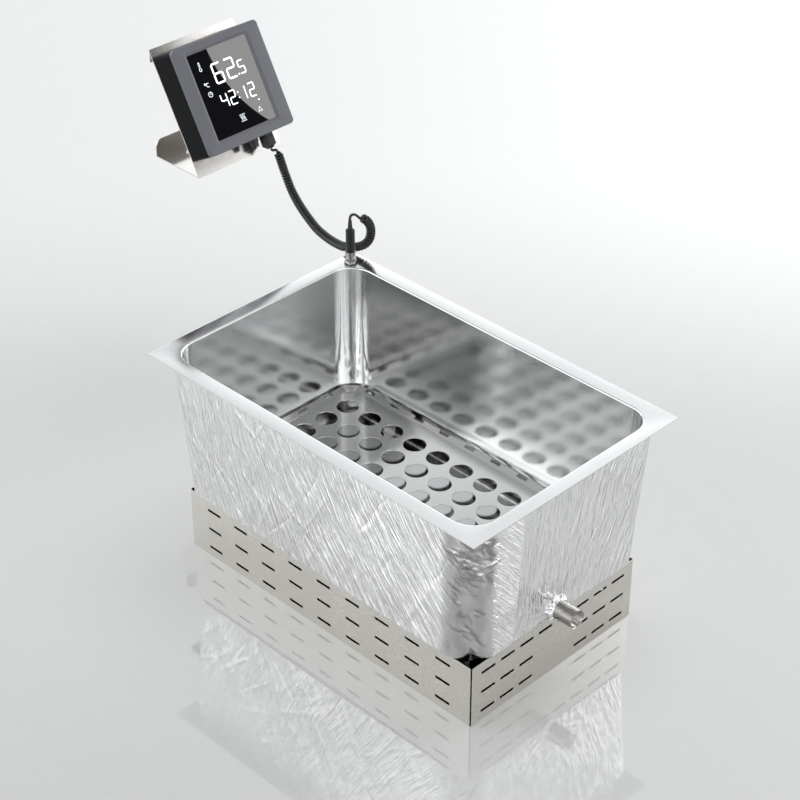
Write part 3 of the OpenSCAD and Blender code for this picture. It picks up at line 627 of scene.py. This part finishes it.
def wrap_outline(half_x, half_y, counts, radii):
    """Points and outward directions of the wrap at one height, from its inner end round to its outer end."""
    corners = [(1, 1), (-1, 1), (-1, -1), (1, -1)]
    points, outward = [], []
    start = np.array([half_x, FOIL_SEAM_Y])
    for i, (sx, sy) in enumerate(corners):
        r = radii[i]
        a = math.pi / 2 * i
        centre = np.array([sx * (half_x - r), sy * (half_y - r)])
        edge = centre + r * np.array([math.cos(a), math.sin(a)])
        t = np.linspace(0, 1, counts[2 * i], endpoint=False)[:, None]
        points.append(start + (edge - start) * t)
        outward.append(np.tile([math.cos(a), math.sin(a)], (counts[2 * i], 1)))
        turn = a + np.linspace(0, math.pi / 2, counts[2 * i + 1], endpoint=False)
        around = np.stack([np.cos(turn), np.sin(turn)], axis=1)
        points.append(centre + r * around)
        outward.append(around)
        start = centre + r * np.array([-math.sin(a), math.cos(a)])
    end = np.array([half_x, FOIL_SEAM_Y + FOIL_OVERLAP])
    t = np.linspace(0, 1, counts[8])[:, None]
    points.append(start + (end - start) * t)
    outward.append(np.tile([1.0, 0.0], (counts[8], 1)))
    return np.concatenate(points), np.concatenate(outward)


def wrap_counts(half_x, half_y):
    """How many mesh columns each side and corner of the wrap takes."""
    right, back, left, front = FOIL_RADII
    lengths = [half_y - right - FOIL_SEAM_Y, right * math.pi / 2, 2 * half_x - right - back, back * math.pi / 2,
               2 * half_y - back - left, left * math.pi / 2, 2 * half_x - left - front, front * math.pi / 2,
               FOIL_SEAM_Y + FOIL_OVERLAP + half_y - front]
    return [max(2, round(length / FOIL_STEP[0])) for length in lengths]


def creases(s, z, count, seed, area, lean, length, depth, width):
    """Sharp single folds scattered over area = (s low, s high, z low, z high); lean is their tilt range."""
    rng = np.random.default_rng(seed)
    total = np.zeros_like(s)
    for _ in range(count):
        s0, z0 = rng.uniform(area[0], area[1]), rng.uniform(area[2], area[3])
        a = math.radians(rng.uniform(*lean))
        half = rng.uniform(*length) / 2
        along = (s - s0) * math.sin(a) - (z - z0) * math.cos(a)
        across = (s - s0) * math.cos(a) + (z - z0) * math.sin(a)
        across += 0.06 * half * np.sin(along / half * rng.uniform(1, 3) + rng.uniform(0, 6))
        near = (np.abs(along) < half) & (np.abs(across) < 5 * width)
        fade = 1 - smoothstep(np.abs(along[near]), 0.5 * half, half)
        total[near] += rng.choice([-1, 1]) * rng.uniform(0.4, 1) * depth * fade * np.exp(
            -np.abs(across[near]) / width)
    return total


def add_foil():
    """The foil face of the insulating blanket, wrapped round the tank with its folds and its overlapped end."""
    low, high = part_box("foil_insulation")
    heights = np.linspace(low.z, high.z, round((high.z - low.z) / FOIL_STEP[1]))
    middle = (low.z + high.z) / 2
    half = lambda z, i: TANK_HALF[i] - lean_in(z) + FOIL_OFFSET
    counts = wrap_counts(half(middle, 0), half(middle, 1))
    rows = [wrap_outline(half(z, 0), half(z, 1), counts, radii_at(z)) for z in heights]
    points = np.array([r[0] for r in rows])
    outward = np.array([r[1] for r in rows])
    mid = points[len(rows) // 2]
    run = np.concatenate([[0], np.cumsum(np.linalg.norm(np.diff(mid, axis=0), axis=1))])
    marks = np.cumsum([0] + counts)
    at = lambda k: run[min(marks[k], len(run) - 1)]
    s, z = np.meshgrid(run, heights)
    raised, lay = foil_relief(s, z, at, low.z, high.z)
    points = points + outward * raised[..., None]
    down = [high.z, *np.linspace(TUCK_TOP, low.z, 6)]
    inner = [np.column_stack([wrap_outline(half(v, 0) - FOIL_T, half(v, 1) - FOIL_T, counts,
                                           [r - FOIL_T for r in radii_at(v)])[0], np.full(len(run), v)])
             for v in down]
    grid = np.concatenate([np.concatenate([points, z[..., None]], axis=2), inner])
    n_rows, n_cols = grid.shape[:2]
    faces = grid_faces(n_rows, n_cols, wrap_rows=True, wrap_cols=False)
    faces.append([r * n_cols for r in range(n_rows)])
    faces.append([r * n_cols + n_cols - 1 for r in range(n_rows)][::-1])
    foil = make_mesh("foil_wrap", grid.reshape(-1, 3), faces, sharp_angle=60)
    lay = np.concatenate([lay, *[lay[-1:]] * len(down)]).reshape(-1, 3)
    stored = foil.data.attributes.new("lay", "FLOAT_VECTOR", "POINT")
    stored.data.foreach_set("vector", lay.astype(np.float32).ravel())
    finish_piece(foil, "root", "foil", "foil_insulation")


def foil_relief(s, z, at, z_low, z_high):
    """How far the foil stands out from its smooth wrap, and its lay: streaks that follow the pull of the sheet,
    single folds, crumples at the front corner and rays round the drain."""
    drain_side = (at(0), at(1))
    front_side = (at(6), at(7))
    front_corner = (at(7), at(8))
    end = at(9)
    up = (z - z_low) / (z_high - z_low)
    # Tilt of the streaks, as sideways run for each metre of drop
    tilt = 0.1 + 0.75 * smoothstep(s, front_side[0], front_side[1])
    tilt = np.where(s < at(2), -0.12 + 0.1 * np.sin(s * 20), tilt)
    sway = 0.004 * lattice_noise(s / 0.05, z / 0.05, 11)
    across = s + tilt * (z - z_low) + sway
    streaks = -np.abs(lattice_noise(across / 0.0056, z / 0.075, 12)) * 0.6 * MM
    streaks += -np.abs(lattice_noise(across / 0.0125, z / 0.11 + 3, 13)) * 0.9 * MM
    cross = s - 0.5 * (z - z_low)
    streaks += -np.abs(lattice_noise(cross / 0.019, z / 0.06, 14)) * 0.7 * MM
    soft = lattice_noise(s / 0.07, z / 0.06, 15) * 0.7 * MM + lattice_noise(s / 0.16, z / 0.12, 16) * 1.2 * MM
    corner = smoothstep(s, front_corner[0] - 0.03, front_corner[0] + 0.02)
    relief = streaks * (1 - 0.9 * corner) + soft * (1 - 0.6 * corner)
    box = (front_side[0], front_side[1], z_low, z_high)
    relief += creases(s, z, 60, 21, box, (15, 60), (0.05, 0.16), 1.0 * MM, 1.4 * MM)
    relief += creases(s, z, 14, 22, box, (-40, -10), (0.04, 0.12), 1.0 * MM, 1.4 * MM)
    box = (drain_side[0], drain_side[1], z_low, z_high)
    relief += creases(s, z, 40, 23, box, (-12, 14), (0.05, 0.15), 1.0 * MM, 1.4 * MM)
    relief += creases(s, z, 16, 24, box, (25, 75), (0.03, 0.1), 0.8 * MM, 1.3 * MM)
    box = (front_corner[0] + 0.01, end - 0.025, z_low, z_high)
    relief += creases(s, z, 12, 25, box, (-8, 8), (0.08, 0.2), 1.0 * MM, 2.2 * MM)
    middle = (front_corner[0] + front_corner[1]) / 2
    box = (middle - 0.028, middle + 0.022, z_high - 0.075, z_high - 0.005)
    crumples = creases(s, z, 46, 26, box, (20, 100), (0.015, 0.05), 1.6 * MM, 1.4 * MM)
    box = (middle - 0.03, middle + 0.01, z_low + 0.03, z_high - 0.06)
    crumples += creases(s, z, 34, 27, box, (10, 80), (0.012, 0.045), 1.3 * MM, 1.2 * MM)
    relief += crumples
    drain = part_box("drain_pipe")
    drain_z = (drain[0].z + drain[1].z) / 2
    ds, dz = s + FOIL_SEAM_Y, z - drain_z
    angle, far = np.arctan2(dz, ds), np.hypot(ds, dz)
    near = np.exp(-far / 0.045)
    relief += -np.abs(lattice_noise(angle * 6, far / 0.05, 31)) * 2.4 * MM * near
    # The flap lies flat over the first turn, and both layers are calm beside it
    calm = 1 - 0.7 * (smoothstep(s, 0.02, 0.0) + smoothstep(s, end - 0.025, end - 0.005))
    calm *= 1 - 0.8 * smoothstep(up, 0.97, 1.0)
    relief = relief * calm
    relief = np.maximum(relief, -FOLD_DEPTH)
    relief += FLAP_T * smoothstep(s, end - 0.05, end - 0.012)
    # The front corner's roundest part gets painted shade, most of all along its crumples
    painted_shade = smoothstep(s, middle - 0.046, middle - 0.026) * smoothstep(s, middle + 0.030, middle + 0.022)
    # The lower edge is smooth at the front corner
    edge = smoothstep(up, 0.01, 0.10)
    relief = relief * (1 - corner * (1 - edge))
    painted_shade = np.clip(0.75 * painted_shade + np.clip(np.abs(crumples) / (1.1 * MM), 0, 1.4) * edge, 0, 1.4)
    # The lay's third part is how much painted shade darkens the foil
    return relief - FOIL_SETBACK, np.stack([across, z, painted_shade], axis=-1)


def add_drain_gather():
    """Foil gathered round the drain's root, in small folds that fan out on the wrap."""
    low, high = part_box("drain_collar")
    centre = (low + high) / 2
    rings = []
    a = np.linspace(0, 2 * math.pi, 180, endpoint=False)
    profile = [(3.4, 12.7), (3.8, 13.2), (2.8, 13.9), (1.2, 14.6), (0.0, 15.6), (-1.2, 17.6), (-2.2, 17.8),
               (-2.2, 12.7)]
    for k, (out, radius) in enumerate(profile):
        folds = lattice_noise(a * 7, np.full_like(a, k * 0.8), 41) * min(k, 4) * 0.35
        ridges = -np.abs(np.sin(a * 11 + 2 * lattice_noise(a * 3, a * 0 + 0.5 * k, 42))) * min(k, 4) * 0.25
        r = (radius + folds + ridges) * MM if 0 < k < len(profile) - 1 else np.full_like(a, radius * MM)
        x = (out + (folds if 0 < k < len(profile) - 2 else 0 * folds)) * MM
        rings.append(np.stack([low.x + x, centre.y + r * np.cos(a), centre.z + r * np.sin(a)], axis=1))
    gather = loft("drain_gather", rings, wrap=True, sharp_angle=70)
    finish_piece(gather, "root", "foil", "drain_collar")


# ---------------------------------------------------------------- drain pipe

THREAD_PITCH = 1.8 * MM
THREAD_DEPTH = 1.0 * MM
THREAD_L = 15 * MM
THREAD_STEPS = 90     # rings along the thread
THREAD_R = 9.3 * MM
PIPE_BORE_R = 10 * MM
PIPE_TROUGH_X = 246 * MM    # nearer the middle than this, the pipe is a trough open at the top


def add_drain_pipe():
    """The drain's socket with rounded mouth edges and a real helical thread inside."""
    low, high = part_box("drain_pipe")
    centre_z = (low.z + high.z) / 2
    sides = 96
    a = np.linspace(0, 2 * math.pi, sides, endpoint=False)
    mouth, thread_end = high.x, high.x - THREAD_L
    rings = []

    def add_ring(x, r, top=1.0):
        x = np.broadcast_to(x, a.shape)
        rings.append(np.stack([x, r * np.cos(a), np.minimum(centre_z + r * np.sin(a), top)], axis=1))

    add_ring(low.x + 2 * MM, 0.01 * MM, TANK_FLOOR)
    add_ring(low.x + 2 * MM, PIPE_BORE_R, TANK_FLOOR)
    add_ring(PIPE_TROUGH_X, PIPE_BORE_R, TANK_FLOOR)
    add_ring(PIPE_TROUGH_X, PIPE_BORE_R)
    add_ring(high.x - 20 * MM, PIPE_BORE_R)
    add_ring(thread_end - 0.5 * MM, PIPE_BORE_R)
    for i in range(THREAD_STEPS + 1):
        x = thread_end + (THREAD_L - 1.2 * MM) * i / THREAD_STEPS
        phase = ((x - thread_end) / THREAD_PITCH - a / (2 * math.pi)) % 1
        fade = min(1, i / 8)
        add_ring(x, THREAD_R + THREAD_DEPTH * fade * (1 - np.abs(2 * phase - 1)))
    add_ring(mouth - 1.0 * MM, THREAD_R + 0.9 * MM)
    add_ring(mouth - 0.2 * MM, THREAD_R + 1.3 * MM)
    for t in np.linspace(0, math.pi / 2, 5):
        add_ring(mouth - 0.6 * MM * (1 - math.cos(math.pi / 2 - t)), PIPE_R - 0.6 * MM * (1 - math.sin(t)))
    add_ring(PIPE_TROUGH_X, PIPE_R)
    add_ring(PIPE_TROUGH_X, PIPE_R, TANK_FLOOR)
    add_ring(low.x, PIPE_R, TANK_FLOOR)
    add_ring(low.x, 0.01 * MM, TANK_FLOOR)
    pipe = loft("drain_socket", rings, wrap=True, sharp_angle=40)
    finish_piece(pipe, "root", "bright_steel", "drain_pipe")


# ---------------------------------------------------------------- controller

PANEL_AT = np.array([-488.5, 160, 481]) * MM      # centre of the controller's face
PANEL_LEAN = math.radians(29.5)
PANEL_HALF = 75 * MM
PANEL_R = 6 * MM
WINDOW_AT = (-1.8 * MM, 1.2 * MM)
WINDOW_HALF = (52 * MM, 60 * MM)
BEZEL_T = 8 * MM
GLASS_DEPTH = 3.05 * MM
panel_x = np.array([0, 1.0, 0])
panel_y = np.array([-math.sin(PANEL_LEAN), 0, math.cos(PANEL_LEAN)])
panel_out = np.array([math.cos(PANEL_LEAN), 0, math.sin(PANEL_LEAN)])


def on_panel(x, y, depth=0.0):
    """Points of the controller: x to its right, y up its face, depth behind the face."""
    x, y, depth = np.broadcast_arrays(x, y, depth)
    return (PANEL_AT + x[..., None] * panel_x + y[..., None] * panel_y - depth[..., None] * panel_out)


def add_bezel():
    """The frame round the glass: soft outside edges and a sloping reveal down to the window."""
    steps = 10

    def outer(inset, depth):
        loop = rounded_loop(PANEL_HALF - inset, PANEL_HALF - inset, PANEL_R - inset, steps)
        return on_panel(loop[:, 0], loop[:, 1], depth)

    def inner(out, radius, depth):
        loop = rounded_loop(WINDOW_HALF[0] + out, WINDOW_HALF[1] + out, radius, steps)
        return on_panel(loop[:, 0] + WINDOW_AT[0], loop[:, 1] + WINDOW_AT[1], depth)

    soft = 1.2 * MM
    turns = np.linspace(0, math.pi / 2, 6)
    rings = [outer(0, BEZEL_T - 0.05 * MM)]
    rings += [outer(soft * (1 - math.cos(t)), soft * (1 - math.sin(t))) for t in turns]
    reveal = 3.6 * MM
    rings += [inner(reveal + 0.5 * MM, 3.2 * MM, 0), inner(reveal, 3.0 * MM, 0.25 * MM),
              inner(0.5 * MM, 1.6 * MM, 2.7 * MM), inner(0, 1.5 * MM, 2.98 * MM),
              inner(3.6 * MM, 3.6 * MM, 3.0 * MM), inner(3.6 * MM, 3.6 * MM, BEZEL_T - 0.05 * MM)]
    bezel = loft("controller_frame", rings, wrap=True, sharp_angle=24)
    finish_piece(bezel, "root", "bezel_plastic", "bezel")


SEGMENTS = {
    "a": ((-1, 2), (1, 2)), "b": ((1, 2), (1, 0)), "c": ((1, 0), (1, -2)), "d": ((-1, -2), (1, -2)),
    "e": ((-1, 0), (-1, -2)), "f": ((-1, 2), (-1, 0)), "g": ((-1, 0), (1, 0)),
}
DIGITS = {"6": "acdefg", "2": "abdeg", "5": "acdfg", "4": "bcfg", "1": "bc"}
# Each figure: the digit, its centre in the window, its width and height, and its stroke, in millimetres
FIGURES = [
    ("6", -12.4, 24.6, 14.0, 26.5, 2.5), ("2", 9.6, 24.6, 14.0, 26.5, 2.5), ("5", 27.8, 20.9, 9.0, 17.5, 1.8),
    ("4", -18.2, -13.0, 9.6, 18.5, 1.7), ("2", -3.6, -13.0, 9.6, 18.5, 1.7),
    ("1", 14.2, -13.0, 9.6, 18.5, 1.7), ("2", 30.4, -13.0, 9.6, 18.5, 1.7),
]


def bar(p, q, width, gap):
    """Outline of a stroke from p to q with round ends, kept gap short of both."""
    p, q = np.array(p, float), np.array(q, float)
    run = (q - p) / np.linalg.norm(q - p)
    p, q = p + run * gap, q - run * gap
    start = math.atan2(run[1], run[0])
    turns = np.linspace(-math.pi / 2, math.pi / 2, 7)
    ends = [q + width / 2 * np.array([math.cos(start + t), math.sin(start + t)]) for t in turns]
    ends += [p - width / 2 * np.array([math.cos(start + t), math.sin(start + t)]) for t in turns]
    return np.array(ends)


def dot(x, y, radius):
    a = np.linspace(0, 2 * math.pi, 16, endpoint=False)
    return np.stack([x + radius * np.cos(a), y + radius * np.sin(a)], axis=1)


def line_bars(points, width):
    return [bar(p, q, width, 0) for p, q in zip(points, points[1:])]


def arc(x, y, radius, start, end, steps=16):
    a = np.radians(np.linspace(start, end, steps + 1))
    return np.stack([x + radius * np.cos(a), y + radius * np.sin(a)], axis=1)


def display_outlines():
    """Outlines, in millimetres from the window's centre, of everything that the display lights."""
    outlines = []
    for digit, x, y, width, height, stroke in FIGURES:
        for name in DIGITS[digit]:
            (x0, y0), (x1, y1) = SEGMENTS[name]
            p = (x + x0 * width / 2, y + y0 * height / 4)
            q = (x + x1 * width / 2, y + y1 * height / 4)
            outlines.append(bar(p, q, stroke, 0.62 * stroke))
    outlines += [dot(20.0, 12.6, 1.3), dot(6.6, -9.0, 1.0), dot(6.4, -16.6, 1.0), dot(35.4, -29, 1.1)]
    thin = 0.5
    outlines += line_bars(arc(-37.4, 36.6, 1.9, 118, 422), thin)
    outlines += line_bars([(-38.3, 38.4), (-38.3, 46.5), (-36.5, 46.5), (-36.5, 38.4)], thin)
    outlines += line_bars(arc(-39.6, 16.6, 1.2, 0, 360, 10), thin)
    outlines += line_bars(arc(-35.2, 14.6, 2.6, 50, 310), thin)
    outlines += line_bars(arc(-36.6, 1.6, 3.4, 0, 360, 24), thin)
    outlines += line_bars([(-36.6, 3.6), (-36.6, 1.6), (-34.9, 1.6)], thin)
    outlines += line_bars([(28.4, -44.2), (34.8, -44.2), (31.6, -38.4), (28.4, -44.2)], thin)
    for x in (-2.6, 0, 2.6):
        y = np.linspace(-46.5, -40.5, 13)
        wave = np.stack([x + 0.9 * np.sin((y + 46.5) * 1.05), y], axis=1)
        outlines += line_bars(wave, thin)
    outlines += line_bars([(-4.6, -39), (4.6, -39)], thin) + line_bars([(-4.6, -48), (4.6, -48)], thin)
    return outlines


def add_display():
    """The lit figures and icons, as thin plates on the glass."""
    verts, faces = [], []
    front, back = GLASS_DEPTH - 0.05 * MM, GLASS_DEPTH - 0.002 * MM
    for outline in display_outlines():
        n, start = len(outline), len(verts)
        x, y = outline[:, 0] * MM + WINDOW_AT[0], outline[:, 1] * MM + WINDOW_AT[1]
        verts += [*on_panel(x, y, front), *on_panel(x, y, back)]
        faces.append([start + i for i in range(n)])
        faces.append([start + n + i for i in range(n)][::-1])
        faces += [[start + i, start + n + i, start + n + (i + 1) % n, start + (i + 1) % n] for i in range(n)]
    marks = make_mesh("display_figures", verts, faces, sharp_angle=30)
    marks.data.materials.append(light_material())
    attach(marks, "root")


# ---------------------------------------------------------------- stage and light

FLOOR_HALF = 40
SKY_LOW = 2.6               # the sky's level near the horizon
SKY_HIGH = 1.12             # its level higher up
SKY_OVERHEAD = 0.4          # the part of that level that is left overhead
# Heights, as the upward part of a direction, between which the sky turns from low to high and to overhead
SKY_TURN = (0.46, 0.58)
OVERHEAD_TURN = (0.62, 0.80)
# Soft round patches of the sky: direction, inner and outer angle in degrees, and the level in the middle
SKY_LOBES = [
    ((0.726, 0.582, 0.365), 5, 30, 0.01),         # unlit, mirrored by the controller's glass
    ((0.60, -0.60, 0.53), 12, 55, 0.55),          # dimmer, behind the camera
    ((-0.85, 0.35, 0.3), 5, 35, 0.6),             # dimmer, beyond the controller
]


def add_floor():
    """A pale floor with a low gloss that mirrors the bath."""
    size = FLOOR_HALF
    floor = make_mesh("floor", [(-size, -size, 0), (size, -size, 0), (size, size, 0), (-size, size, 0)],
                      [(0, 1, 2, 3)])
    material, tree, shader, place = new_material("floor", IOR=2.4)
    speckle = noise(tree, place, 30, detail=4)
    tree.links.new(ranged(tree, speckle, 0.03, 0.045), shader.inputs["Roughness"])
    tree.links.new(blended(tree, speckle, (0.625, 0.625, 0.618), (0.645, 0.645, 0.638)),
                   shader.inputs["Base Color"])
    floor.data.materials.append(material)


def sky_lobe(tree, direction, centre, inner, outer, middle):
    """1 away from centre, turning to middle within a soft round patch of the sky."""
    facing = add_node(tree, "ShaderNodeVectorMath", {"operation": "DOT_PRODUCT"})
    tree.links.new(direction, facing.inputs[0])
    facing.inputs[1].default_value = centre.normalized()
    lobe = add_node(tree, "ShaderNodeMapRange", {"interpolation_type": "SMOOTHSTEP"},
                    Value=facing.outputs["Value"], From_Min=math.cos(math.radians(outer)),
                    From_Max=math.cos(math.radians(inner)), To_Min=1.0, To_Max=middle)
    return lobe.outputs["Result"]


def add_sky():
    """A bright even studio, with unlit sides that the metal and the glass can mirror."""
    world = bpy.data.worlds.new("studio")
    world.use_nodes = True
    tree = world.node_tree
    direction = add_node(tree, "ShaderNodeTexCoord").outputs["Generated"]
    height = add_node(tree, "ShaderNodeSeparateXYZ", Vector=direction).outputs["Z"]
    level = add_node(tree, "ShaderNodeMapRange", {"interpolation_type": "SMOOTHSTEP"}, Value=height,
                     From_Min=SKY_TURN[0], From_Max=SKY_TURN[1], To_Min=SKY_LOW,
                     To_Max=SKY_HIGH).outputs["Result"]
    overhead = add_node(tree, "ShaderNodeMapRange", {"interpolation_type": "SMOOTHSTEP"}, Value=height,
                        From_Min=OVERHEAD_TURN[0], From_Max=OVERHEAD_TURN[1], To_Min=1.0,
                        To_Max=SKY_OVERHEAD).outputs["Result"]
    for factor in [overhead] + [sky_lobe(tree, direction, Vector(centre), inner, outer, middle)
                                for centre, inner, outer, middle in SKY_LOBES]:
        level = calculated(tree, "MULTIPLY", level, factor)
    background = tree.nodes["Background"]
    background.inputs["Color"].default_value = (0.97, 0.985, 1.0, 1)
    tree.links.new(level, background.inputs["Strength"])
    bpy.context.scene.world = world


def add_softbox(name, at, aim, size, power, shape="SQUARE"):
    data = bpy.data.lights.new(name, "AREA")
    data.shape = shape
    data.size = size
    data.energy = power
    light = bpy.data.objects.new(name, data)
    light.location = at
    light.rotation_mode = "QUATERNION"
    light.rotation_quaternion = (Vector(aim) - Vector(at)).to_track_quat("-Z", "Y")
    light.visible_camera = False
    bpy.context.scene.collection.objects.link(light)
    return light


def add_mirrored_softbox(name, edge_a, edge_b, within, radius, power):
    """A round softbox whose edge, mirrored to the camera by the controller's face, runs from edge_a to edge_b
    with the light on the side of within. All three are points of the face, in millimetres. It doesn't light the
    floor, which would mirror it as a disc."""
    eye = np.array(CAMERA_AT)
    eye = eye - 2 * (eye - PANEL_AT).dot(panel_out) * panel_out
    far = 4.4                   # distance of the softbox from the mirrored eye

    def reach(x, y):
        ray = on_panel(x * MM, y * MM, GLASS_DEPTH) - eye
        return eye + ray / np.linalg.norm(ray) * far

    a, b = reach(*edge_a), reach(*edge_b)
    view = (a + b) / 2 - eye
    view /= np.linalg.norm(view)
    side = np.cross(b - a, view)
    side /= np.linalg.norm(side)
    if side.dot(reach(*within) - a) < 0:
        side = -side
    chord = np.linalg.norm(b - a) / 2
    centre = (a + b) / 2 + side * math.sqrt(radius**2 - chord**2)
    light = add_softbox(name, centre, PANEL_AT, 2 * radius, power, "DISK")
    lit = bpy.data.collections.new(name + "_lights")
    for obj in bpy.context.scene.objects:
        if obj.type == "MESH" and obj.name != "floor":
            lit.objects.link(obj)
    light.light_linking.receiver_collection = lit


# ---------------------------------------------------------------- build

paint_cad_nodes()
soften_edges()
add_cord()
add_tank()
add_foil()
add_drain_gather()
add_drain_pipe()
add_bezel()
add_display()
add_floor()
add_sky()
add_mirrored_softbox("glass_softbox", (-24, 61), (30, -59), (50, 60), 0.3, 1.7)
add_mirrored_softbox("shelf_softbox", (-75, -72), (75, -72), (0, -110), 0.5, 4.6)
add_softbox("side_softbox", (0.2, 0.9, 3.0), (0.0, 0.2, 0), 1.6, 17)
bpy.context.scene.view_settings.view_transform = "Standard"
